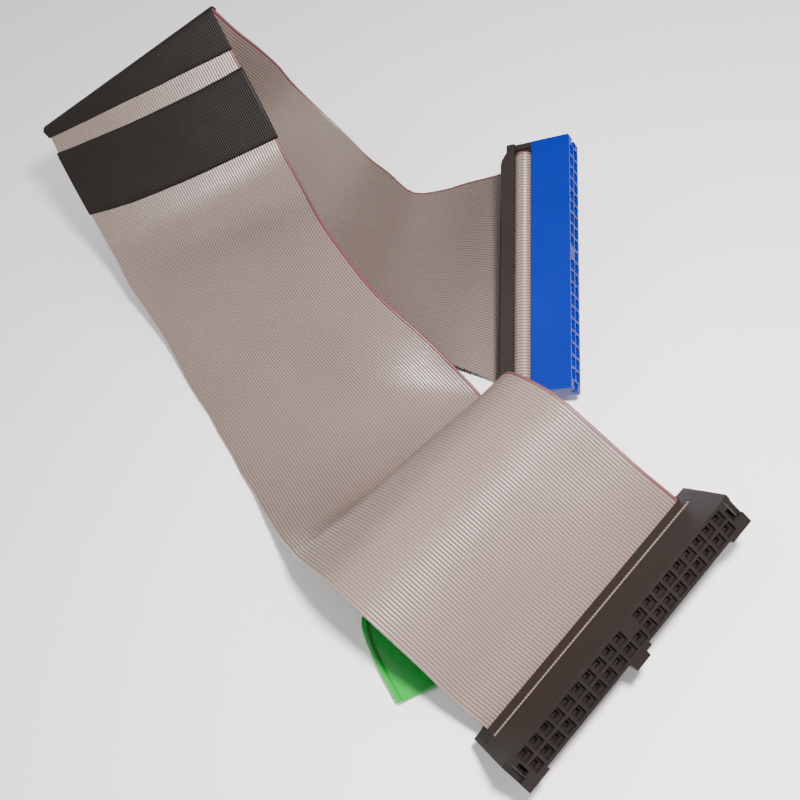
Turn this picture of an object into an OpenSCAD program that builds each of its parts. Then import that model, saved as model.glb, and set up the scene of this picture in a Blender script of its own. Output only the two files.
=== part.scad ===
// Folded 80-conductor flat ribbon cable with two 40-position connectors.
// The cable leaves the black connector, climbs a ramp, drops behind it, lies
// flat, turns up to a taped fold and comes back down to the blue connector.

/* [Cable] */
// Width of the flat cable across all conductors
cable_w = 50.8; // [49:0.1:52]
// Thickness of the flat cable
cable_t = 0.7; // [0.5:0.05:0.9]
// Thickness of one turn of tape
tape_t = 0.3; // [0.15:0.05:0.4]

/* [Connectors] */
// Distance between neighbouring contact positions
pitch = 2.54; // [2.4:0.01:2.6]
// Positions in each row
positions = 20; // [10:1:20]
// Thickness of a connector body across its two rows
body_t = 5.7; // [5.5:0.1:6.4]
// Height of a connector body from the cable to the mating face
body_h = 8.25; // [7.5:0.05:9]
// Length of a connector body between its ends
body_l = 53.8; // [53.2:0.1:54.4]
// Overall length of the drive connector over its ears
ear_l = 56; // [55.4:0.1:56.6]
// Overall length of the host connector
host_l = 54.5; // [54:0.1:56]
// Side of the square mouth of each socket
mouth = 1.05; // [0.9:0.05:1.2]
// Column of the blocked socket, counted from the red edge
blocked = 10; // [1:1:20]
// Side of the square recess round each socket
recess = 2; // [1.7:0.05:2.1]
// Width of the key rib on the side of the body
key_w = 3.2; // [2.6:0.1:4]

/* [Pull tab] */
// Length of the pull tab along the connector
tab_l = 42; // [36:1:46]
// Depth of the pull tab away from the connector
tab_w = 20; // [18:0.5:21]
// Thickness of the pull tab
tab_t = 1; // [0.8:0.1:1.6]

/* [Hidden] */
$fn = 32;
eps = 0.01;

// Shift that puts the middle of the whole part over the origin
ox = -7.116;
oy = 1.315;
oz = 0.05;

// Colours
grey_pvc = [0.66, 0.60, 0.56];
black_plastic = [0.20, 0.19, 0.18];
blue_plastic = [0.06, 0.31, 0.75];
green_plastic = [0.10, 0.50, 0.18];
tape_black = [0.16, 0.14, 0.13];
tin = [0.78, 0.76, 0.70];

// Where each connector's mating face lies and how it is turned.
// Local x runs to the red edge, y to the side seen from above, z out of the sockets.
drive_at = [41.7, -62.5, 14.5];
drive_turn = [45.4, -4.2, 44.3];
host_at = [41, 16.2, 15.5];
host_turn = [79.5, -18, 82.5];

// Heights inside a connector, measured back from the mating face
z_wire1 = -(body_h + cable_t / 2);
cover_t = 2.9;
z_wire2 = z_wire1 - cable_t - cover_t;
relief_t = 2.2;
z_back = z_wire2 - cable_t / 2 - relief_t;
// The cable's turn round the cover
turn_r = (cover_t + cable_t) / 2;
turn_y = 1.0;
turn_z = (z_wire1 + z_wire2) / 2;

// Rotation helpers that match the order of rotate([x, y, z])
function rx(a, v) = [v[0], v[1] * cos(a) - v[2] * sin(a), v[1] * sin(a) + v[2] * cos(a)];
function ry(a, v) = [v[0] * cos(a) + v[2] * sin(a), v[1], -v[0] * sin(a) + v[2] * cos(a)];
function rz(a, v) = [v[0] * cos(a) - v[1] * sin(a), v[0] * sin(a) + v[1] * cos(a), v[2]];
function put(at, turn, v) = at + rz(turn[2], ry(turn[1], rx(turn[0], v)));
function unit(v) = v / norm(v);

// One station of the cable: its plain edge and its red edge
function station(at, turn, y, z) =
    [put(at, turn, [-cable_w / 2, y, z]), put(at, turn, [cable_w / 2, y, z])];

// Inside the drive connector: cut end, turn round the cover, way out
drive_end = [
    station(drive_at, drive_turn, body_t / 2, z_wire1),
    station(drive_at, drive_turn, -turn_y, z_wire1),
    for (q = [36 : 36 : 144])
        station(drive_at, drive_turn, -turn_y - turn_r * sin(q), turn_z + turn_r * cos(q)),
    station(drive_at, drive_turn, -turn_y, z_wire2),
    station(drive_at, drive_turn, body_t / 2 + 0.2, z_wire2)
];

// Inside the host connector, in the same direction of travel along the cable
host_bend = 2.2;
host_end = [
    for (q = [65, 35])
        station(host_at, host_turn, -body_t / 2 - 0.3 - host_bend * sin(q),
                z_wire2 - host_bend + host_bend * cos(q)),
    station(host_at, host_turn, -body_t / 2 - 0.3, z_wire2),
    station(host_at, host_turn, turn_y, z_wire2),
    for (q = [36 : 36 : 144])
        station(host_at, host_turn, turn_y + turn_r * sin(q), turn_z - turn_r * cos(q)),
    station(host_at, host_turn, turn_y, z_wire1),
    station(host_at, host_turn, -body_t / 2, z_wire1)
];

// Route of the cable between the connectors: [plain edge, red edge]
// Ramp, crest and drop
route_ramp = [
    [[12, -68.5, 9.5], [48, -33, 14]],
    [[8, -64.5, 14], [43, -28, 17.5]],
    [[0, -57, 20.5], [35.5, -20.5, 22.5]],
    [[-6.5, -50.5, 21.5], [30.5, -16, 23]],
    [[-12, -45, 17.5], [27, -12.5, 21]],
    [[-15.5, -41.5, 14.5], [25.5, -11.5, 18.5]],
    [[-17.5, -39, 12], [25, -11.5, 13]],
    [[-20, -36, 9.5], [24.5, -11.5, 6.5]],
    [[-22, -33.5, 7.5], [23, -10.5, 2.5]]
];
// Fan of the valley, whose plain edge runs flat while the red edge lifts
route_flat = [
    [[-25.5, -28.5, 4.7], [21.5, -8, 0.7]],
    [[-29, -23, 2.5], [19.5, -5, 0.5]],
    [[-32, -18, 1.2], [18.3, -3.2, 0.5]],
    [[-35, -13.5, 0.7], [17.8, -2.4, 0.6]],
    [[-38, -8, 0.5], [17.3, -1.7, 0.9]],
    [[-42, -1.5, 0.5], [16, -0.2, 2.2]],
    [[-45, 4, 0.5], [13.6, 2.3, 4.8]],
    [[-48, 8.5, 0.6], [11.5, 4.5, 7.2]],
    [[-51, 13.5, 1], [8, 8, 10.5]],
    [[-57, 25, 3.5], [0, 16, 16.5]],
    [[-62.5, 34, 6.5], [-7, 27, 19.5]]
];
// Turn upward to the fold; the last stations are the edges of the tape
route_up = [
    [[-66, 39.5, 9], [-12.5, 37.5, 20.3]],
    [[-67.5, 42.5, 10.5], [-16, 46, 20]],
    [[-68.5, 45, 12.2], [-19, 53, 22.3]],
    [[-70, 48.5, 15.5], [-21, 57, 26]],
    [[-72, 53.5, 22], [-21.5, 58.5, 28]],
    [[-74, 58.5, 28], [-23.5, 63.5, 35]],
    [[-75.7, 63.4, 34.2], [-25.5, 68.2, 41.6]],
    [[-76.5, 66, 36.9], [-26.5, 70.5, 45]]
];
fold_line = [[-77, 67.7, 38.6], [-28.6, 75.9, 52.4]];
// Down again behind, over the valley and up to the host connector
route_down = [
    [[-70.5, 61, 27], [-26, 77.5, 45]],
    [[-68, 59, 23.5], [-24.5, 80, 39]],
    [[-65.5, 57, 20.5], [-23.5, 82.5, 33.5]],
    [[-61.5, 53.5, 17], [-22.8, 85, 28]],
    [[-57.5, 50.5, 14.5], [-22, 86, 22.5]],
    [[-49, 44, 10], [-18, 84, 15]],
    [[-36, 34.5, 5.5], [-12.5, 80, 7.5]],
    [[-25, 26.5, 2.2], [-8, 76, 2]],
    [[-16, 20.5, 1], [-3, 70.5, 0.5]],
    [[-6.5, 15, 1.2], [4, 61, 0.5]],
    [[2, 10.5, 2], [11, 59.5, 0.9]],
    [[9, 7, 2.5], [17.5, 57.5, 3.5]],
    [[15, 3.5, 2.3], [23.5, 53, 8]],
    [[20.5, 0.3, 1.2], [28.8, 48.5, 12.5]]
];

// The tight fold: a small arc on each edge, between the two legs
fold_r = 0.85;
function arc(f, u, v, q) =
    let (a = unit(u - f), b = unit(v - f), out = unit(-(a + b)), side = unit(a - b))
    f + fold_r * (out * (cos(q) - 1) + side * sin(q));
fold_up = route_up[len(route_up) - 1];
fold_dn = route_down[0];
fold = [for (q = [75 : -30 : -75])
    [for (k = [0, 1]) arc(fold_line[k], fold_up[k], fold_dn[k], q)]];

cable = concat(drive_end, route_ramp, route_flat, route_up, fold, route_down, host_end);

// Direction across the face of the strip at station i of the list r
function mid(s) = (s[0] + s[1]) / 2;
function face(r, i) =
    let (a = r[max(i - 1, 0)], b = r[min(i + 1, len(r) - 1)])
    unit(cross(mid(b) - mid(a), r[i][1] - r[i][0]));
// Four corners of the strip at a station, grown by g on every side
function corners(r, i, g) =
    let (n = face(r, i), e = unit(r[i][1] - r[i][0]), h = cable_t / 2 + g)
    [r[i][0] - e * g - n * h, r[i][1] + e * g - n * h,
     r[i][1] + e * g + n * h, r[i][0] - e * g + n * h];

// A closed strip with one ring of four corners at each station
module strip(r) {
    n = len(r);
    pts = [for (i = [0 : n - 1]) each corners(r, i, 0)];
    sides = [for (i = [0 : n - 2], k = [0 : 3])
        let (a = 4 * i + k, b = 4 * i + (k + 1) % 4, c = b + 4, d = a + 4)
        each [[a, d, b], [b, d, c]]];
    polyhedron(pts, concat([[0, 1, 2, 3]], sides,
        [[4 * n - 1, 4 * n - 2, 4 * n - 3, 4 * n - 4]]), convexity = 10);
}

// A closed sleeve round the strip between stations i0 and i1 of the list r
module sleeve(r, i0, i1) {
    n = i1 - i0 + 1;
    pts = [for (i = [i0 : i1]) each concat(corners(r, i, tape_t), corners(r, i, 0.02))];
    outer = [for (i = [0 : n - 2], k = [0 : 3])
        let (a = 8 * i + k, b = 8 * i + (k + 1) % 4, c = b + 8, d = a + 8)
        each [[a, d, b], [b, d, c]]];
    inner = [for (i = [0 : n - 2], k = [0 : 3])
        let (a = 8 * i + 4 + k, b = 8 * i + 4 + (k + 1) % 4, c = b + 8, d = a + 8)
        each [[a, b, d], [b, c, d]]];
    m = 8 * (n - 1);
    first = [for (k = [0 : 3]) let (a = k, b = (k + 1) % 4)
        each [[a, b, a + 4], [b, b + 4, a + 4]]];
    last = [for (k = [0 : 3]) let (a = m + k, b = m + (k + 1) % 4)
        each [[a, a + 4, b], [b, a + 4, b + 4]]];
    polyhedron(pts, concat(outer, inner, first, last), convexity = 10);
}

// A closed sheet on the outer face of the strip between stations i0 and i1
module sheet(r, i0, i1) {
    n = i1 - i0 + 1;
    h0 = cable_t / 2 + 0.02;
    h1 = cable_t / 2 + tape_t;
    pts = [for (i = [i0 : i1]) let (f = face(r, i), e = unit(r[i][1] - r[i][0]) * tape_t)
        each [r[i][0] - e - f * h1, r[i][1] + e - f * h1, r[i][1] + e - f * h0, r[i][0] - e - f * h0]];
    sides = [for (i = [0 : n - 2], k = [0 : 3])
        let (a = 4 * i + k, b = 4 * i + (k + 1) % 4, c = b + 4, d = a + 4)
        each (k == 2 ? [[a, d, c], [a, c, b]] : [[a, d, b], [b, d, c]])];
    polyhedron(pts, concat([[0, 1, 2], [0, 2, 3]], sides,
        [[4 * n - 1, 4 * n - 2, 4 * n - 3], [4 * n - 1, 4 * n - 3, 4 * n - 4]]), convexity = 10);
}

module world() { translate([-ox, -oy, -oz]) children(); }
module at_drive() { world() translate(drive_at) rotate(drive_turn) children(); }
module at_host() { world() translate(host_at) rotate(host_turn) children(); }
module block(x0, x1, y0, y1, z0, z1) { translate([x0, y0, z0]) cube([x1 - x0, y1 - y0, z1 - z0]); }

function col_x(k) = (positions - 1) * pitch / 2 - k * pitch;

// Socket body: two rows of recessed cavities, a slot for the ground bar, a key
// rib and end slots. e is half its length.
module socket_body(e) {
    difference() {
        union() {
            rotate([90, 0, 0]) translate([0, 0, -body_t / 2]) linear_extrude(body_t)
                polygon([[-e, -body_h], [e, -body_h], [e, -0.3], [e - 0.3, 0],
                         [-e + 0.3, 0], [-e, -0.3]]);
            children();
        }
        for (k = [0 : positions - 1], s = [-1, 1])
            if (!(k == blocked - 1 && s == 1)) {
                translate([col_x(k), s * pitch / 2, 0]) {
                    block(-recess / 2, recess / 2, -recess / 2, recess / 2, -0.9, 1);
                    block(-mouth / 2, mouth / 2, -mouth / 2, mouth / 2, -2, 1);
                    block(-0.85, 0.85, -0.65, 0.65, -body_h - 1, -1.9);
                }
            }
        block(-25.2, 25.2, -0.3, 0.3, -body_h - 1, -body_h + 2.2);
    }
}

// Body of the host connector: straight ends with a slot and a notch in each
module host_body() {
    difference() {
        socket_body(host_l / 2)
            block(-key_w / 2, key_w / 2, -body_t / 2 - 1, 0, -6.6, -0.3);
        for (s = [-1, 1]) {
            block(s * 26 - 0.5, s * 26 + 0.5, -1.2, 1.2, -3, 1);
            block(s * 27 - 1, s * 27 + 1, -0.8, 0.8, -0.8, 1);
        }
    }
}

// Body of the drive connector: a stepped key, and at each end a thick block
// and a thin wall with a gap for the strain relief's leg
module drive_body() {
    difference() {
        socket_body(body_l / 2) {
            block(-2.8, 0.6, -body_t / 2 - 1.9, 0, -6.6, -0.3);
            block(0.6, 1.9, -body_t / 2 - 0.9, 0, -6.6, -0.3);
            for (s = [-1, 1]) {
                block(min(s * 23.2, s * ear_l / 2), max(s * 23.2, s * ear_l / 2),
                      -body_t / 2 - 0.7, -1.3, -body_h, -0.15);
                block(min(s * 26.5, s * ear_l / 2), max(s * 26.5, s * ear_l / 2),
                      1.7, body_t / 2, -body_h, -0.3);
            }
        }
        for (k = [0 : positions - 1])
            translate([col_x(k), -pitch / 2, 0])
                block(-recess / 2, recess / 2, -recess / 2, recess / 2, -0.9, 1);
        for (s = [-1, 1])
            block(s * 26.1 - 0.45, s * 26.1 + 0.45, -1, 1.2, -1.6, 1);
    }
}

// One contact: a foot under the cable and two springs that grip a pin
module contact() {
    block(-0.8, 0.8, -0.6, 0.6, -body_h + 0.05, -body_h + 0.4);
    for (s = [-1, 1])
        block(-0.45, 0.45, min(s * 0.6, s * 0.35), max(s * 0.6, s * 0.35), -body_h + 0.4, -2.05);
}

module contact_set() {
    for (k = [0 : positions - 1], s = [-1, 1])
        if (!(k == blocked - 1 && s == 1))
            translate([col_x(k), s * pitch / 2, 0]) contact();
}

// Ground bar that sits in the slot between the rows
module ground_bar() { block(-25.1, 25.1, -0.25, 0.25, -body_h + 0.05, -body_h + 2.1); }

// Cover: a bar with a rounded edge that the cable turns round, and end blocks
// that reach to e on each side
module cover_bar(e) {
    translate([-cable_w / 2 - 0.15, 0, 0]) rotate([90, 0, 90]) linear_extrude(cable_w + 0.3)
        union() {
            translate([-body_t / 2, turn_z - cover_t / 2 + 0.02])
                square([body_t / 2 + turn_y - 0.5, cover_t - 0.04]);
            translate([0, turn_z - cover_t / 2 + 0.12])
                square([turn_y, cover_t - 0.24]);
            translate([turn_y, turn_z]) circle(r = cover_t / 2 - 0.12);
        }
    for (s = [-1, 1])
        block(min(s * (cable_w / 2 + 0.15), s * e), max(s * (cable_w / 2 + 0.15), s * e),
              -body_t / 2, body_t / 2 - 0.4, z_wire2 - cable_t / 2, -body_h - 0.02);
}

// Strain relief: a bar across the back, t thick, 2 * e long and reaching to y1,
// whose ends step and slope inwards. lip is how far its edge laps the cable's turn.
module relief_bar(t, e, y1, lip) {
    y0 = -body_t / 2 + 0.1;
    zf = z_wire2 - cable_t / 2 - 0.02;
    zb = zf - t;
    intersection() {
        rotate([90, 0, 0]) translate([0, 0, -5]) linear_extrude(10)
            polygon([[-e, zf + 2], [e, zf + 2], [e, zf - t * 0.4], [e - 1.7, zf - t * 0.4], [e - 4, zb],
                     [-e + 4, zb], [-e + 1.7, zf - t * 0.4], [-e, zf - t * 0.4]]);
        translate([-30, 0, 0]) rotate([90, 0, 90]) linear_extrude(60)
            polygon([[y0, zf], [y0, zb + 0.5], [y0 + 0.5, zb], [y1 - 0.5, zb], [y1, zb + 0.5],
                     [y1, zf + lip], [y1 - 0.6, zf + lip], [y1 - 0.6, zf]]);
    }
}

// Leg of a strain relief on side s, from x0 to x1, from y0 to y1 and up to z1
module relief_leg(s, x0, x1, y0, y1, z1) {
    block(min(s * x0, s * x1), max(s * x0, s * x1), y0, y1, z_wire2 - cable_t, z1);
}

module host_relief() {
    relief_bar(2.5, host_l / 2, 3.5, 0.8);
    for (s = [-1, 1])
        relief_leg(s, host_l / 2 - 1.2, host_l / 2, -body_t / 2 + 0.1, body_t / 2 - 0.05, -body_h - 0.1);
}

module drive_relief() {
    relief_bar(relief_t, ear_l / 2, body_t / 2 - 0.1, 0);
    for (s = [-1, 1]) {
        relief_leg(s, body_l / 2 + 0.05, ear_l / 2, -body_t / 2 + 0.1, body_t / 2 - 0.05, -body_h - 0.1);
        relief_leg(s, body_l / 2 + 0.05, ear_l / 2, -1.2, 1.6, -0.8);
    }
}

// Pull tab: a plate with bowed ends and a raised rim along them, and a neck
// that reaches to the back of the drive connector's strain relief
tab_at = [-0.2, -65.4, 0.05];
tab_turn = 21.7;
// Half of the bowed end: [outwards, inwards along the depth], in mm
bow = [[0, 0], [0.6, 4.5], [1.05, 8.5], [1.2, 13], [1, 16.2], [0.4, 17.8],
       [-0.7, 19], [-2.2, 19.7], [-4, 20]];
module tab_outline(g) {
    n = len(bow);
    polygon([for (i = [0 : n - 1]) [-bow[i][0] + g, bow[i][1] * tab_w / 20 * (1 - g / 20)],
             for (i = [n - 1 : -1 : 0]) [tab_l + bow[i][0] - g, bow[i][1] * tab_w / 20 * (1 - g / 20)]]);
}

module ribbon() { color(grey_pvc) world() strip(cable); }

i_up = len(drive_end) + len(route_ramp) + len(route_flat) + len(route_up);
module tape_band_lower() { color(tape_black) world() sleeve(cable, i_up - 4, i_up - 2); }
module tape_band_fold() { color(tape_black) world() sheet(cable, i_up - 1, i_up + len(fold)); }

module host_housing() { color(blue_plastic) at_host() host_body(); }
module host_cover() { color(black_plastic) at_host() cover_bar(host_l / 2 - 1.25); }
module host_strain_relief() { color(black_plastic) at_host() host_relief(); }
module host_contacts() { color(tin) at_host() contact_set(); }
module host_ground_bar() { color(tin) at_host() ground_bar(); }

module drive_housing() { color(black_plastic) at_drive() drive_body(); }
module drive_cover() { color(black_plastic) at_drive() mirror([0, 1, 0]) cover_bar(body_l / 2); }
module drive_strain_relief() { color(black_plastic) at_drive() drive_relief(); }
module drive_contacts() { color(tin) at_drive() contact_set(); }
module drive_ground_bar() { color(tin) at_drive() ground_bar(); }

// Neck of the pull tab, flat on the surface, with a foot that stands on the
// back of the strain relief
module pull_tab() {
    color(green_plastic) world() {
        translate(tab_at) rotate([0, 0, tab_turn]) {
            linear_extrude(tab_t) union() {
                tab_outline(0);
                polygon([[26, 1], [41.3, -4.6], [54.2, 0.6], [53, 3.6], [41, 3.6]]);
            }
            linear_extrude(tab_t + 0.6) difference() {
                tab_outline(0);
                tab_outline(1.1);
                translate([1.1, -1]) square([tab_l - 2.2, tab_w - 1]);
            }
        }
        translate(drive_at) rotate(drive_turn)
            block(4.5, 17, -4.1, 2.4, z_back - 1.3, z_back - 0.02);
    }
}

ribbon();
tape_band_fold();
tape_band_lower();
host_housing();
host_cover();
host_strain_relief();
host_contacts();
host_ground_bar();
drive_housing();
drive_cover();
drive_strain_relief();
drive_contacts();
drive_ground_bar();
pull_tab();
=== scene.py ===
import math

import bmesh
import bpy
import numpy as np
from mathutils import Matrix, Vector


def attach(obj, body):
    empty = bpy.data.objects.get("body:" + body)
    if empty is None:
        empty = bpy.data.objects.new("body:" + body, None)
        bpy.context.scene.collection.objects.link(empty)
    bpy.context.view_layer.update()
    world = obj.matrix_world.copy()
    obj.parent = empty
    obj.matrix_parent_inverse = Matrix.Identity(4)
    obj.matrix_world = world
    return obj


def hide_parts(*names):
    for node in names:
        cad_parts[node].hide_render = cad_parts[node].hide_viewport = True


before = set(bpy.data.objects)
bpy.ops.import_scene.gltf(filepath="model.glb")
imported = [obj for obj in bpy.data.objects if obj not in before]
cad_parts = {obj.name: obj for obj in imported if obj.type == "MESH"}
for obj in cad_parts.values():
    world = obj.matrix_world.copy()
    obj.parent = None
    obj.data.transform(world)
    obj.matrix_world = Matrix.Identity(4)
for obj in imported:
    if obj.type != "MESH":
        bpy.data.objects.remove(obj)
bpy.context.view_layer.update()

# ---------------------------------------------------------------- frame shift
SHIFT = np.array([-7.116, 1.315, 0.05])      # mm, the part's own origin in route units


def to_m(p):
    return (np.asarray(p, float) - SHIFT) / 1000.0


# --------------------------------------------------------------------- camera
cam_data = bpy.data.cameras.new("camera")
cam_data.sensor_width = 36.0
cam_data.lens = 978.0 / 800.0 * 36.0
cam_data.clip_start = 0.01
cam_data.clip_end = 20.0
camera = bpy.data.objects.new("camera", cam_data)
bpy.context.scene.collection.objects.link(camera)
R_AX = Vector((0.96219544, 0.0, -0.27235995))
U_AX = Vector((0.15267789, 0.82810437, 0.53938169))
F_AX = Vector((-0.22554247, 0.56057394, -0.79679825))
eye = Vector(to_m((47.3109, -117.5887, 167.1402)))
camera.matrix_world = Matrix((
    (R_AX.x, U_AX.x, -F_AX.x, eye.x),
    (R_AX.y, U_AX.y, -F_AX.y, eye.y),
    (R_AX.z, U_AX.z, -F_AX.z, eye.z),
    (0, 0, 0, 1)))
bpy.context.scene.camera = camera

# ------------------------------------------------------------ connector frames
CABLE_W, CABLE_T = 50.8, 0.7
BODY_T, BODY_H, BODY_L, EAR_L = 5.7, 8.25, 53.8, 56.0
PITCH, POSITIONS, BLOCKED = 2.54, 20, 10
COVER_T, RELIEF_T = 2.9, 2.2
Z1 = -(BODY_H + CABLE_T / 2)
Z2 = Z1 - CABLE_T - COVER_T
ZB = Z2 - CABLE_T / 2 - RELIEF_T
TURN_R, TURN_Y, TURN_Z = (COVER_T + CABLE_T) / 2, 1.0, (Z1 + Z2) / 2
HOST_BEND = 2.2


def turn(t):
    a, b, c = np.radians(t)
    x = np.array([[1, 0, 0], [0, math.cos(a), -math.sin(a)], [0, math.sin(a), math.cos(a)]])
    y = np.array([[math.cos(b), 0, math.sin(b)], [0, 1, 0], [-math.sin(b), 0, math.cos(b)]])
    z = np.array([[math.cos(c), -math.sin(c), 0], [math.sin(c), math.cos(c), 0], [0, 0, 1]])
    return z @ y @ x


DRIVE = (np.array([41.7, -62.5, 14.5]), turn([45.4, -4.2, 44.3]))
HOST = (np.array([41, 16.2, 15.5]), turn([79.5, -18, 82.5]))


def put(con, p):
    return con[0] + con[1] @ np.asarray(p, float)


def station(con, y, z):
    return np.array([put(con, (-CABLE_W / 2, y, z)), put(con, (CABLE_W / 2, y, z))])


# ----------------------------------------------------------------- cable route
drive_end = [station(DRIVE, y, Z1) for y in (BODY_T / 2 + 0.02, 1.5, 0.2, -TURN_Y)]
drive_end += [station(DRIVE, -TURN_Y - TURN_R * math.sin(q), TURN_Z + TURN_R * math.cos(q))
              for q in np.radians(np.arange(15, 180, 15))]
drive_end += [station(DRIVE, y, Z2) for y in (-TURN_Y, 0.6, 2.0, BODY_T / 2 + 0.2)]

host_end = [station(HOST, -BODY_T / 2 - 0.3 - HOST_BEND * math.sin(q), Z2 - HOST_BEND + HOST_BEND * math.cos(q))
            for q in np.radians([65, 52, 39, 26, 13])]
host_end += [station(HOST, y, Z2) for y in (-BODY_T / 2 - 0.3, -1.5, 0.0, TURN_Y)]
host_end += [station(HOST, TURN_Y + TURN_R * math.sin(q), TURN_Z - TURN_R * math.cos(q))
             for q in np.radians(np.arange(15, 180, 15))]
host_end += [station(HOST, y, Z1) for y in (TURN_Y, -0.2, -1.5, -BODY_T / 2)]

route_ramp = [
    [[12, -68.5, 9.5], [48, -33, 14]],
    [[8, -64.5, 14], [43, -28, 17.5]],
    [[0, -57, 20.5], [35.5, -20.5, 22.5]],
    [[-6.5, -50.5, 21.5], [30.5, -16, 23]],
    [[-12, -45, 17.5], [27, -12.5, 21]],
    [[-15.5, -41.5, 14.5], [25.5, -11.5, 18.5]],
    [[-17.5, -39, 12], [25, -11.5, 13]],
    [[-20, -36, 9.5], [24.5, -11.5, 6.5]],
    [[-22, -33.5, 7.5], [23, -10.5, 2.5]],
]
route_flat = [
    [[-25.5, -28.5, 4.7], [21.5, -8, 0.7]],
    [[-29, -23, 2.5], [19.5, -5, 0.5]],
    [[-32, -18, 1.2], [18.3, -3.2, 0.5]],
    [[-35, -13.5, 0.7], [17.8, -2.4, 0.6]],
    [[-38, -8, 0.5], [17.3, -1.7, 0.9]],
    [[-42, -1.5, 0.5], [16, -0.2, 2.2]],
    [[-45, 4, 0.5], [13.6, 2.3, 4.8]],
    [[-48, 8.5, 0.6], [11.5, 4.5, 7.2]],
    [[-51, 13.5, 1], [8, 8, 10.5]],
    [[-57, 25, 3.5], [0, 16, 16.5]],
    [[-62.5, 34, 6.5], [-7, 27, 19.5]],
]
route_up = [
    [[-66, 39.5, 9], [-12.5, 37.5, 20.3]],
    [[-67.5, 42.5, 10.5], [-16, 46, 20]],
    [[-68.5, 45, 12.2], [-19, 53, 22.3]],
    [[-70, 48.5, 15.5], [-21, 57, 26]],
    [[-72, 53.5, 22], [-21.5, 58.5, 28]],
    [[-74, 58.5, 28], [-23.5, 63.5, 35]],
    [[-75.7, 63.4, 34.2], [-25.5, 68.2, 41.6]],
    [[-76.5, 66, 36.9], [-26.5, 70.5, 45]],
]
fold_line = [[-77, 67.7, 38.6], [-28.6, 75.9, 52.4]]
route_down = [
    [[-70.5, 61, 27], [-26, 77.5, 45]],
    [[-68, 59, 23.5], [-24.5, 80, 39]],
    [[-65.5, 57, 20.5], [-23.5, 82.5, 33.5]],
    [[-61.5, 53.5, 17], [-22.8, 85, 28]],
    [[-57.5, 50.5, 14.5], [-22, 86, 22.5]],
    [[-49, 44, 10], [-18, 84, 15]],
    [[-36, 34.5, 5.5], [-12.5, 80, 7.5]],
    [[-25, 26.5, 2.2], [-8, 76, 2]],
    [[-16, 20.5, 1], [-3, 70.5, 0.5]],
    [[-6.5, 15, 1.2], [4, 61, 0.5]],
    [[2, 10.5, 2], [11, 59.5, 0.9]],
    [[9, 7, 2.5], [17.5, 57.5, 3.5]],
    [[15, 3.5, 2.3], [23.5, 53, 8]],
    [[20.5, 0.3, 1.2], [28.8, 48.5, 12.5]],
]
FOLD_R = 0.85


def unit(v):
    return v / np.linalg.norm(v)


def fold_arc(q):
    out = []
    for k in (0, 1):
        f = np.array(fold_line[k], float)
        a = unit(np.array(route_up[-1][k], float) - f)
        b = unit(np.array(route_down[0][k], float) - f)
        o, s = unit(-(a + b)), unit(a - b)
        out.append(f + FOLD_R * (o * (math.cos(q) - 1) + s * math.sin(q)))
    return np.array(out)


fold = [fold_arc(math.radians(q)) for q in np.arange(75, -76, -15)]


def curve_point(p0, p1, p2, p3, u):
    """Centripetal curve through p1 and p2."""
    t0 = 0.0
    t1 = t0 + max(np.linalg.norm(p1 - p0), 1e-6) ** 0.5
    t2 = t1 + max(np.linalg.norm(p2 - p1), 1e-6) ** 0.5
    t3 = t2 + max(np.linalg.norm(p3 - p2), 1e-6) ** 0.5
    t = t1 + (t2 - t1) * u
    a1 = (t1 - t) / (t1 - t0) * p0 + (t - t0) / (t1 - t0) * p1
    a2 = (t2 - t) / (t2 - t1) * p1 + (t - t1) / (t2 - t1) * p2
    a3 = (t3 - t) / (t3 - t2) * p2 + (t - t2) / (t3 - t2) * p3
    b1 = (t2 - t) / (t2 - t0) * a1 + (t - t0) / (t2 - t0) * a2
    b2 = (t3 - t) / (t3 - t1) * a2 + (t - t1) / (t3 - t1) * a3
    return (t2 - t) / (t2 - t1) * b1 + (t - t1) / (t2 - t1) * b2


def blend_run(ctrl, i, u):
    return np.array([curve_point(ctrl[i - 1][k], ctrl[i][k], ctrl[i + 1][k], ctrl[i + 2][k], u) for k in (0, 1)])


run_a = [np.array(s, float) for s in ([drive_end[-3], drive_end[-1]] + route_ramp + route_flat + route_up + [fold[0], fold[2]])]
run_b = [np.array(s, float) for s in ([fold[-3], fold[-1]] + route_down + [host_end[0], host_end[2]])]


def dense(ctrl, step):
    """Stations along a run, without its first real control and with its last."""
    out = []
    for i in range(1, len(ctrl) - 2):
        m = 0.5 * (np.linalg.norm(ctrl[i + 1][0] - ctrl[i][0]) + np.linalg.norm(ctrl[i + 1][1] - ctrl[i][1]))
        k = max(1, int(math.ceil(m / step)))
        for j in range(1, k + 1):
            out.append(blend_run(ctrl, i, j / k))
    return out


STEP = 3.4
cable = list(drive_end) + dense(run_a, STEP)[:-1] + fold + dense(run_b, STEP)[:-1] + list(host_end)
cable = np.array(cable)                                  # stations, 2 edges, xyz
# arc length along the middle
mid = cable.mean(1)
arc = np.concatenate([[0], np.cumsum(np.linalg.norm(np.diff(mid, axis=0), axis=1))])
print("cable stations", len(cable), "length mm", round(float(arc[-1]), 1))


# ------------------------------------------------------------------- materials
def new_mat(name):
    m = bpy.data.materials.new(name)
    m.use_nodes = True
    nt = m.node_tree
    b = nt.nodes["Principled BSDF"]
    return m, nt, b


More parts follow.
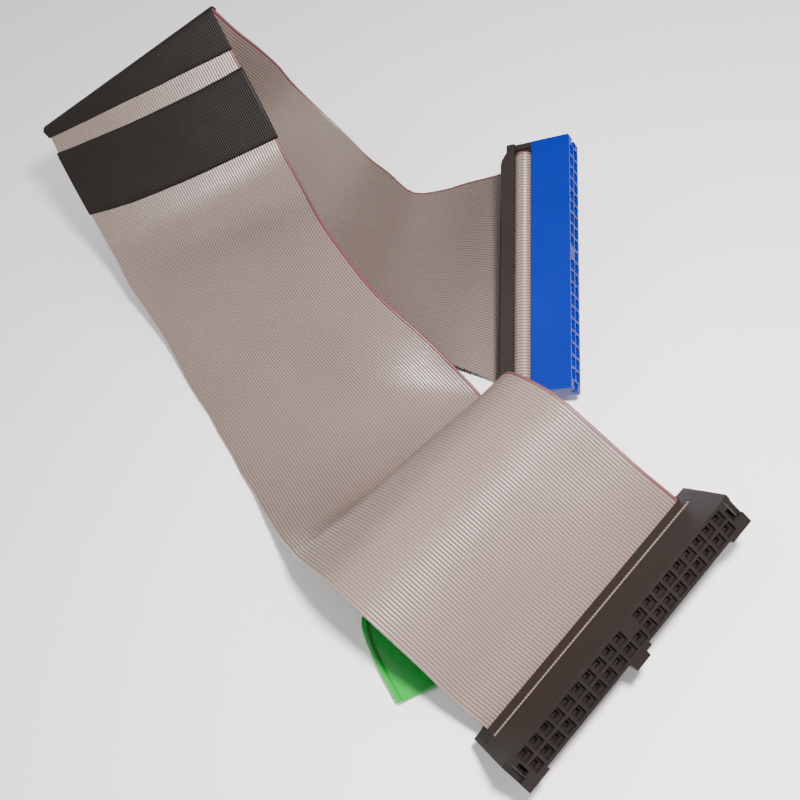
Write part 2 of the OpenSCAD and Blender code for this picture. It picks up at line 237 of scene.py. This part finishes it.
def noise(nt, scale, detail=3.0, rough=0.55, coord="Object", stretch=None):
    tc = nt.nodes.new("ShaderNodeTexCoord")
    n = nt.nodes.new("ShaderNodeTexNoise")
    n.inputs["Scale"].default_value = scale
    n.inputs["Detail"].default_value = detail
    n.inputs["Roughness"].default_value = rough
    if stretch:
        mp = nt.nodes.new("ShaderNodeMapping")
        mp.inputs["Scale"].default_value = stretch
        nt.links.new(tc.outputs[coord], mp.inputs["Vector"])
        nt.links.new(mp.outputs["Vector"], n.inputs["Vector"])
    else:
        nt.links.new(tc.outputs[coord], n.inputs["Vector"])
    return n


def ramp(nt, src, stops):
    r = nt.nodes.new("ShaderNodeValToRGB")
    e = r.color_ramp.elements
    while len(e) < len(stops):
        e.new(0.5)
    for k, (pos, col) in enumerate(stops):
        e[k].position = pos
        e[k].color = (*col, 1.0)
    nt.links.new(src, r.inputs["Fac"])
    return r


def maths(nt, op, a, b=None):
    n = nt.nodes.new("ShaderNodeMath")
    n.operation = op
    for k, v in enumerate((a, b)):
        if v is None:
            continue
        if isinstance(v, (int, float)):
            n.inputs[k].default_value = v
        else:
            nt.links.new(v, n.inputs[k])
    return n.outputs[0]


def bump(nt, bsdf, height, strength, distance):
    bp = nt.nodes.new("ShaderNodeBump")
    bp.inputs["Strength"].default_value = strength
    bp.inputs["Distance"].default_value = distance
    nt.links.new(height, bp.inputs["Height"])
    nt.links.new(bp.outputs["Normal"], bsdf.inputs["Normal"])
    return bp


def scaled(c, k):
    return tuple(min(1.0, q * k) for q in c)


def plastic(name, col, rough, vary=0.12, grain=900.0, grain_h=0.00003, coat=0.0, spec=0.5):
    m, nt, b = new_mat(name)
    big = noise(nt, 60.0, 4.0)
    r = ramp(nt, big.outputs["Fac"], [(0.3, scaled(col, 1 - vary)), (0.7, scaled(col, 1 + vary))])
    nt.links.new(r.outputs["Color"], b.inputs["Base Color"])
    fine = noise(nt, grain, 4.0, 0.6)
    rr = ramp(nt, big.outputs["Fac"], [(0.25, (rough * 0.85,) * 3), (0.75, (rough * 1.15,) * 3)])
    nt.links.new(rr.outputs["Color"], b.inputs["Roughness"])
    b.inputs["Specular IOR Level"].default_value = spec
    if coat:
        b.inputs["Coat Weight"].default_value = coat
        b.inputs["Coat Roughness"].default_value = 0.08
    bump(nt, b, fine.outputs["Fac"], 0.5, grain_h)
    return m


def pvc(name, col, web_shade, rough):
    """Insulation: the wire's own tone on each wire's crown, with painted shade darkening the web between wires."""
    m, nt, b = new_mat(name)
    uv = nt.nodes.new("ShaderNodeUVMap")
    uv.uv_map = "cable"
    sep = nt.nodes.new("ShaderNodeSeparateXYZ")
    nt.links.new(uv.outputs["UV"], sep.inputs["Vector"])
    fr = maths(nt, "FRACT", sep.outputs["X"])
    dist = maths(nt, "ABSOLUTE", maths(nt, "SUBTRACT", fr, 0.5))
    big = noise(nt, 45.0, 3.0)
    tone = ramp(nt, big.outputs["Fac"], [(0.3, scaled(col, 0.95)), (0.7, scaled(col, 1.05))])
    web = ramp(nt, dist, [(0.30, (0, 0, 0)), (0.5, (1, 1, 1))])
    mix = nt.nodes.new("ShaderNodeMix")
    mix.data_type = "RGBA"
    nt.links.new(web.outputs["Color"], mix.inputs["Factor"])
    nt.links.new(tone.outputs["Color"], mix.inputs["A"])
    web_shade_tone = ramp(nt, big.outputs["Fac"], [(0.3, scaled(web_shade, 0.93)), (0.7, scaled(web_shade, 1.07))])
    nt.links.new(web_shade_tone.outputs["Color"], mix.inputs["B"])
    nt.links.new(mix.outputs["Result"], b.inputs["Base Color"])
    rr = ramp(nt, big.outputs["Fac"], [(0.25, (rough * 0.85,) * 3), (0.75, (rough * 1.15,) * 3)])
    nt.links.new(rr.outputs["Color"], b.inputs["Roughness"])
    b.inputs["Specular IOR Level"].default_value = 0.5
    fine = noise(nt, 1400.0, 3.0, 0.6)
    d2 = maths(nt, "MULTIPLY", dist, 1.96)
    lobe = maths(nt, "SQRT", maths(nt, "SUBTRACT", 1.0, maths(nt, "MULTIPLY", d2, d2)))
    hh = maths(nt, "ADD", lobe, maths(nt, "MULTIPLY", fine.outputs["Fac"], 0.12))
    bump(nt, b, hh, 0.5, 0.00012)
    return m


GREY = (0.170, 0.128, 0.110)
# the second colour of each insulation is painted shade in the web between wires
m_pvc = pvc("cable_pvc", GREY, (0.042, 0.028, 0.024), 0.33)
# a darker copy of the insulation, used on the rear leg: painted shade
m_pvc_rear_shaded = pvc("cable_pvc_rear_shaded", scaled(GREY, 0.74), (0.050, 0.035, 0.030), 0.60)
m_red = pvc("cable_red", (0.110, 0.032, 0.038), (0.032, 0.009, 0.011), 0.40)
# the cut faces take a darker copy of the insulation tone: painted shade on the recessed cut ends
m_cut_face_shaded = plastic("cable_cut_face_shaded", (0.115, 0.098, 0.089), 0.6, 0.08)
m_black = plastic("black_plastic", (0.0110, 0.0082, 0.0072), 0.45, spec=0.20)
m_blue = plastic("blue_plastic", (0.0001, 0.0095, 0.175), 0.42, 0.10, spec=0.10)
m_green = plastic("green_plastic", (0.0030, 0.26, 0.026), 0.14, 0.10, coat=0.3)
m_metal, nt, b = new_mat("contact_metal")
b.inputs["Metallic"].default_value = 1.0
n1 = noise(nt, 300.0)
r1 = ramp(nt, n1.outputs["Fac"], [(0.3, (0.62, 0.58, 0.50)), (0.7, (0.80, 0.77, 0.70))])
nt.links.new(r1.outputs["Color"], b.inputs["Base Color"])
r2 = ramp(nt, n1.outputs["Fac"], [(0.3, (0.22,) * 3), (0.7, (0.36,) * 3)])
nt.links.new(r2.outputs["Color"], b.inputs["Roughness"])
# near-black copy of the contact metal for the drive connector's contacts and ground bar: painted shade inside its
# sockets
m_metal_shaded, nt, b = new_mat("contact_metal_shaded")
b.inputs["Metallic"].default_value = 1.0
n1 = noise(nt, 300.0)
r1 = ramp(nt, n1.outputs["Fac"], [(0.3, (0.07, 0.06, 0.05)), (0.7, (0.11, 0.10, 0.085))])
nt.links.new(r1.outputs["Color"], b.inputs["Base Color"])
r2 = ramp(nt, n1.outputs["Fac"], [(0.3, (0.45,) * 3), (0.7, (0.6,) * 3)])
nt.links.new(r2.outputs["Color"], b.inputs["Roughness"])
m_copper, nt, b = new_mat("copper")
b.inputs["Metallic"].default_value = 1.0
n1 = noise(nt, 500.0)
r1 = ramp(nt, n1.outputs["Fac"], [(0.3, (0.75, 0.36, 0.20)), (0.7, (0.88, 0.48, 0.30))])
nt.links.new(r1.outputs["Color"], b.inputs["Base Color"])
b.inputs["Roughness"].default_value = 0.35

TAPE_RIBS, TAPE_SKEW = 94, 0.15
# cloth tape: fine ribs along the tape's short way, with a faint cross weave; the grooves between ribs are darkened with
# painted shade
m_tape, nt, b = new_mat("cloth_tape")
uv = nt.nodes.new("ShaderNodeUVMap")
uv.uv_map = "cable"
sep = nt.nodes.new("ShaderNodeSeparateXYZ")
nt.links.new(uv.outputs["UV"], sep.inputs["Vector"])
big = noise(nt, 70.0, 4.0)
tone = ramp(nt, big.outputs["Fac"], [(0.3, (0.0085, 0.0058, 0.0045)), (0.7, (0.0135, 0.0094, 0.0074))])
phase = maths(nt, "ADD", maths(nt, "MULTIPLY", sep.outputs["X"], 2 * math.pi * TAPE_RIBS / 80),
              maths(nt, "MULTIPLY", sep.outputs["Y"], TAPE_SKEW))
tape_crown_vs_groove_shade = maths(nt, "ADD", maths(nt, "MULTIPLY", maths(nt, "COSINE", phase), 0.5), 0.5)
tape_groove_shade_mix = nt.nodes.new("ShaderNodeMix")
tape_groove_shade_mix.data_type = "RGBA"
nt.links.new(tape_crown_vs_groove_shade, tape_groove_shade_mix.inputs["Factor"])
# near-black colour in the rib grooves: painted shade between the ribs
tape_groove_shade_mix.inputs["A"].default_value = (0.0012, 0.0008, 0.0006, 1)
nt.links.new(tone.outputs["Color"], tape_groove_shade_mix.inputs["B"])
nt.links.new(tape_groove_shade_mix.outputs["Result"], b.inputs["Base Color"])
b.inputs["Roughness"].default_value = 0.5
b.inputs["Specular IOR Level"].default_value = 0.2
cross = maths(nt, "SINE", maths(nt, "MULTIPLY", sep.outputs["Y"], 2 * math.pi / 0.36))
fine = noise(nt, 1800.0, 3.0, 0.6)
hh = maths(nt, "ADD", maths(nt, "MULTIPLY", cross, 0.5), fine.outputs["Fac"])
bump(nt, b, hh, 0.5, 0.00003)


# ---------------------------------------------------------------- mesh helpers
def add_mesh(name, verts, faces, mats, smooth=True, uvs=None, mat_ids=None):
    me = bpy.data.meshes.new(name)
    me.from_pydata([tuple(v) for v in verts], [], faces)
    for m in mats:
        me.materials.append(m)
    if mat_ids is not None:
        me.polygons.foreach_set("material_index", np.asarray(mat_ids, np.int32))
    me.polygons.foreach_set("use_smooth", np.full(len(me.polygons), smooth))
    if uvs is not None:
        layer = me.uv_layers.new(name="cable")
        idx = np.empty(len(me.loops), np.int32)
        me.loops.foreach_get("vertex_index", idx)
        layer.data.foreach_set("uv", np.asarray(uvs, np.float32)[idx].ravel())
    me.validate()
    me.update()
    ob = bpy.data.objects.new(name, me)
    bpy.context.scene.collection.objects.link(ob)
    return ob


def surface_frames(st, v):
    """Points and normals of the strip's middle surface: stations x fractions."""
    L, R = st[:, 0], st[:, 1]
    P = L[:, None] * (1 - v)[None, :, None] + R[:, None] * v[None, :, None]
    T = np.gradient(P, axis=0)
    E = np.broadcast_to((R - L)[:, None], P.shape)
    N = np.cross(T, E)
    N /= np.linalg.norm(N, axis=2)[..., None] + 1e-12
    return P, N


# -------------------------------------------------------------------- the cable
SUB = 4
nv = 80 * SUB + 1
v_all = np.linspace(0, 1, nv)
t = (np.arange(nv) % SUB) / SUB
crown = np.sqrt(np.clip(1 - (2 * t - 1) ** 2, 0, 1))
half = 0.235 + 0.115 * crown                                 # mm, half thickness across each wire
half[[0, -1]] = 0.13                                         # the outer wires are round at the edge
P, N = surface_frames(cable, v_all)
# a gentle, uneven waviness in the free spans, none in the connectors or tape
s0, s1 = arc[len(drive_end) + 2], arc[-len(host_end) - 3]
fold_s = arc[len(drive_end) + len(dense(run_a, STEP)) - 1 + len(fold) // 2]
free = np.clip((arc - s0) / 12, 0, 1) * np.clip((s1 - arc) / 12, 0, 1) * np.clip((np.abs(arc - fold_s) - 28) / 10, 0, 1)
wave = (np.sin(arc[:, None] / 9.0 + 5.0 * v_all[None]) * 0.08 + np.sin(arc[:, None] / 23.0 - 9.0 * v_all[None] + 1.0) * 0.12
        + np.sin(arc[:, None] / 5.1 + 23.0 * v_all[None] + 2.0) * 0.03) * free[:, None]
floor_ok = np.clip((P[..., 2] - 0.55) / 1.5, 0, 1)
P = P + N * (wave * floor_ok)[..., None]
slim = np.ones(len(cable))
slim[[0, -1]] = 0.6                                          # the blade pinches the cut ends
thick = slim[:, None] * half[None]
top = P + N * thick[..., None]
bot = P - N * thick[..., None]
ring = np.concatenate([top, bot[:, ::-1]], axis=1)           # closed ring at each station
nr, ns = ring.shape[1], ring.shape[0]
verts = to_m(ring.reshape(-1, 3))
i = np.arange(ns - 1)[:, None]
j = np.arange(nr)[None, :]
jn = (j + 1) % nr
quads = np.stack([i * nr + j, (i + 1) * nr + j, (i + 1) * nr + jn, i * nr + jn], -1).reshape(-1, 4)
one = v_all * 80
one[[0, -1]] = 0.22, 79.78                                   # no web outside the edge wires
across = np.concatenate([one, one[::-1]])
mid_u = (across + np.roll(across, -1)) / 2
ids = np.tile(np.where(mid_u > 79, 1, 0), ns - 1)
# the rear leg takes a darker, rougher copy of the insulation: the darker tone is painted shade for the shadow on the
# rear leg
rear_shade_mask = np.repeat((arc[:-1] > fold_s) & (arc[:-1] < s1 + 6), nr) & (np.tile(np.arange(nr), ns - 1) < nv) & (ids == 0)
ids = np.where(rear_shade_mask, 3, ids)
faces = quads[:, ::-1].tolist()
caps, cap_ids = [], []
for base, flip in ((0, False), ((ns - 1) * nr, True)):
    for k in range(nv - 1):
        q = [base + k, base + k + 1, base + nr - 2 - k, base + nr - 1 - k]
        caps.append(q[::-1] if flip else q)
        cap_ids.append(2)
uvs = np.stack([np.tile(across, ns), np.repeat(arc, nr)], -1)
ribbon = add_mesh("flat_cable", verts, faces + caps, [m_pvc, m_red, m_cut_face_shaded, m_pvc_rear_shaded], True, uvs, np.concatenate([ids, cap_ids]))
bm = bmesh.new()
bm.from_mesh(ribbon.data)
bmesh.ops.recalc_face_normals(bm, faces=bm.faces)
bm.to_mesh(ribbon.data)
bm.free()
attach(ribbon, "root")
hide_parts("ribbon")

# copper ends of the conductors, in both cut faces
cv, cf = [], []
for st, nb in ((cable[0], cable[1]), (cable[-1], cable[-2])):
    out = unit(st.mean(0) - nb.mean(0))
    e = unit(st[1] - st[0])
    up = np.cross(out, e)
    for w in range(80):
        c = st[0] + (st[1] - st[0]) * (w + 0.5) / 80
        b0 = len(cv)
        for k in range(10):
            a = 2 * math.pi * k / 10
            cv.append(to_m(c + out * 0.015 + (e * math.cos(a) + up * math.sin(a)) * 0.14))
        for k in range(10):
            a = 2 * math.pi * k / 10
            cv.append(to_m(c - out * 0.3 + (e * math.cos(a) + up * math.sin(a)) * 0.14))
        cf.append(list(range(b0, b0 + 10)))
        cf.append(list(range(b0 + 19, b0 + 9, -1)))
        for k in range(10):
            cf.append([b0 + k, b0 + 10 + k, b0 + 10 + (k + 1) % 10, b0 + (k + 1) % 10])
ends = add_mesh("copper_ends", cv, cf, [m_copper], False)
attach(ends, "root")


# ------------------------------------------------------------------------ tape
fine = np.array([run_a[-6]] + [blend_run(run_a, i, u) for i in range(len(run_a) - 7, len(run_a) - 3)
                               for u in np.linspace(0, 1, 13)[1:]]
                + fold + [blend_run(run_b, 1, u) for u in np.linspace(0, 1, 25)[1:]])
fine = fine[1:]
f_arc = np.concatenate([[0], np.cumsum(np.linalg.norm(np.diff(fine.mean(1), axis=0), axis=1))])


def where(st):
    """Arc length of the table entry nearest to a station."""
    return float(f_arc[int(np.argmin(np.linalg.norm(fine.mean(1) - np.asarray(st, float).mean(0), axis=1)))])


def taped(name, s0, s1, bow0, bow1, both, rings, ribs=TAPE_RIBS, skew=TAPE_SKEW):
    """Ribbed tape on the cable from s0 to s1. Its two cut edges bow by bow0 and bow1.
    both: a sleeve round both faces; otherwise a sheet on the outer face."""
    nvr = ribs * 4 + 1
    v = np.linspace(-0.006, 1.006, nvr)
    w = np.linspace(0, 1, rings)[:, None]
    arch = (4 * np.clip(v, 0, 1) * (1 - np.clip(v, 0, 1)))[None]
    wob = 0.03 * np.sin(v * 17.0 + 1.0)[None] + 0.015 * np.sin(v * 47.0)[None]
    a0 = s0 - bow0 * arch + wob
    a1 = s1 - bow1 * arch + wob[:, ::-1]
    S = a0 * (1 - w) + a1 * w
    slim = 0.03 * np.clip((S - where(fold[-1])) / 2.0, 0, 1)
    V = 0.5 + (v[None] - 0.5) * (1 - slim)
    P0 = np.empty(S.shape + (3,))
    for c in range(3):
        Lc, Rc = np.interp(S, f_arc, fine[:, 0, c]), np.interp(S, f_arc, fine[:, 1, c])
        P0[..., c] = Lc * (1 - V) + Rc * V
    Pa, Pb = np.empty_like(P0), np.empty_like(P0)
    for c in range(3):
        for arr, ds in ((Pa, -0.2), (Pb, 0.2)):
            Lc, Rc = np.interp(S + ds, f_arc, fine[:, 0, c]), np.interp(S + ds, f_arc, fine[:, 1, c])
            arr[..., c] = Lc * (1 - V) + Rc * V
    Tm = Pb - Pa
    Em = np.gradient(P0, axis=1)
    Nm = np.cross(Tm, Em)
    Nm /= np.linalg.norm(Nm, axis=2)[..., None] + 1e-12
    rib = 0.055 * np.cos(v[None] * ribs * 2 * math.pi + S * skew)
    edge = np.minimum(S - a0, a1 - S)
    soft = 0.55 + 0.45 * np.clip(edge / 0.4, 0, 1)
    side = np.clip(np.minimum(v - v[0], v[-1] - v) / 0.004, 0, 1)[None] ** 0.5
    ho = (0.36 + (0.235 + rib) * soft) * (0.6 + 0.4 * side)
    hi = np.full_like(ho, 0.31) * (0.6 + 0.4 * side)
    to, ti = P0 - Nm * ho[..., None], P0 - Nm * hi[..., None]
    acr = v * 80
    if both:
        bo, bi = P0 + Nm * ho[..., None], P0 + Nm * hi[..., None]
        outer = np.concatenate([to, bo[:, ::-1]], 1)
        inner = np.concatenate([ti, bi[:, ::-1]], 1)
        acr = np.concatenate([acr, acr[::-1]])
        closed = True
    else:
        outer, inner, closed = to, ti, False
    n_s, n_r = outer.shape[0], outer.shape[1]
    allv = np.concatenate([outer.reshape(-1, 3), inner.reshape(-1, 3)])
    off = n_s * n_r
    fs = []
    cols = range(n_r) if closed else range(n_r - 1)
    for a in range(n_s - 1):
        for k in cols:
            kn = (k + 1) % n_r
            fs.append([a * n_r + k, a * n_r + kn, (a + 1) * n_r + kn, (a + 1) * n_r + k])
            fs.append([off + a * n_r + k, off + (a + 1) * n_r + k, off + (a + 1) * n_r + kn, off + a * n_r + kn])
    for a in (0, n_s - 1):
        for k in cols:
            kn = (k + 1) % n_r
            fs.append([a * n_r + k, off + a * n_r + k, off + a * n_r + kn, a * n_r + kn])
    if not closed:
        for k in (0, n_r - 1):
            for a in range(n_s - 1):
                fs.append([a * n_r + k, (a + 1) * n_r + k, off + (a + 1) * n_r + k, off + a * n_r + k])
    uvv = np.stack([np.tile(acr, n_s), (S if not closed else np.concatenate([S, S[:, ::-1]], 1)).ravel()], -1)
    ob = add_mesh(name, to_m(allv), fs, [m_tape], True, np.concatenate([uvv, uvv]))
    bm = bmesh.new()
    bm.from_mesh(ob.data)
    bmesh.ops.recalc_face_normals(bm, faces=bm.faces)
    bm.to_mesh(ob.data)
    bm.free()
    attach(ob, "root")
    return ob


t_low = taped("tape_lower", where(route_up[-4]), where(route_up[-2]), 1.1, 0.8, True, 22)
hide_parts("tape_band_lower")
t_hi = taped("tape_fold", where(route_up[-1]), where(route_down[0]), 0.1, -0.2, False, 46)
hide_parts("tape_band_fold")


# ---------------------------------------------------- moulded parts, rounded
def rounded(node, name, mat, width, segs=2):
    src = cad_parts[node]
    me = src.data.copy()
    me.materials.clear()
    me.materials.append(mat)
    ob = bpy.data.objects.new(name, me)
    bpy.context.scene.collection.objects.link(ob)
    bm = bmesh.new()
    bm.from_mesh(me)
    bmesh.ops.remove_doubles(bm, verts=bm.verts, dist=2e-6)
    bmesh.ops.dissolve_limit(bm, angle_limit=math.radians(1.0), verts=bm.verts, edges=bm.edges)
    sharp = [e for e in bm.edges if len(e.link_faces) == 2 and e.calc_face_angle(0) > math.radians(35)]
    bmesh.ops.bevel(bm, geom=sharp, offset=width, offset_type="OFFSET", segments=segs, profile=0.5,
                    affect="EDGES", clamp_overlap=True)
    for f in bm.faces:
        f.smooth = True
        f.material_index = 0
    bm.to_mesh(me)
    bm.free()
    me.update()
    try:
        me.set_sharp_from_angle(angle=math.radians(38))
    except Exception:
        pass
    wn = ob.modifiers.new("wn", "WEIGHTED_NORMAL")
    wn.keep_sharp = True
    bpy.context.view_layer.objects.active = ob
    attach(ob, "root")
    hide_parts(node)
    return ob


for node, mat, w, sl in (
        ("host_housing", m_blue, 0.10e-3, "blue_plastic"),
        ("host_cover", m_black, 0.15e-3, "black_plastic"),
        ("host_strain_relief", m_black, 0.20e-3, "black_plastic"),
        ("drive_housing", m_black, 0.10e-3, "black_plastic"),
        ("drive_cover", m_black, 0.15e-3, "black_plastic"),
        ("drive_strain_relief", m_black, 0.20e-3, "black_plastic"),
        ("pull_tab", m_green, 0.35e-3, "green_plastic")):
    rounded(node, node + "_moulded", mat, w, 3 if node == "pull_tab" else 2)
for node, mat in (("host_contacts", m_metal), ("host_ground_bar", m_metal),
                  ("drive_contacts", m_metal_shaded), ("drive_ground_bar", m_metal_shaded)):
    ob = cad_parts[node]
    ob.data.materials.clear()
    ob.data.materials.append(mat)

# -------------------------------------------------------------- every second cable station, and the last
keep = list(range(0, len(cable), 2))
if keep[-1] != len(cable) - 1:
    keep.append(len(cable) - 1)

# ------------------------------------------------------------------------ stage
fl = bpy.data.meshes.new("floor")
fl.from_pydata([(-3, -3, -0.00005), (3, -3, -0.00005), (3, 3, -0.00005), (-3, 3, -0.00005)], [], [(0, 1, 2, 3)])
floor = bpy.data.objects.new("floor", fl)
bpy.context.scene.collection.objects.link(floor)
m_floor, nt, b = new_mat("floor_white")
fn = noise(nt, 3.0)
fr = ramp(nt, fn.outputs["Fac"], [(0.3, (0.86, 0.86, 0.86)), (0.7, (0.88, 0.88, 0.88))])
nt.links.new(fr.outputs["Color"], b.inputs["Base Color"])
b.inputs["Roughness"].default_value = 0.85
b.inputs["Specular IOR Level"].default_value = 0.1
fl.materials.append(m_floor)

world = bpy.data.worlds.new("studio")
world.use_nodes = True
bg = world.node_tree.nodes["Background"]
bg.inputs["Color"].default_value = (1.0, 1.0, 1.0, 1)
bg.inputs["Strength"].default_value = 0.60
bpy.context.scene.world = world


def area(name, loc, target, size, power, color=(1, 1, 1)):
    d = bpy.data.lights.new(name, "AREA")
    d.shape = "DISK"
    d.size = size
    d.energy = power
    d.color = color
    o = bpy.data.objects.new(name, d)
    bpy.context.scene.collection.objects.link(o)
    o.location = loc
    o.rotation_euler = (Vector(target) - Vector(loc)).to_track_quat("-Z", "Y").to_euler()
    return o


flash = eye + U_AX * 0.048 + R_AX * 0.020
area("flash", flash, (0.0, 0.0, 0.0), 0.024, 1.25, (1.0, 0.93, 0.92))
area("soft_left", (-0.36, 0.0, 0.44), (0, 0, 0.01), 0.5, 1.05)
area("soft_right", (0.36, 0.06, 0.48), (0, 0, 0.01), 0.5, 1.05)
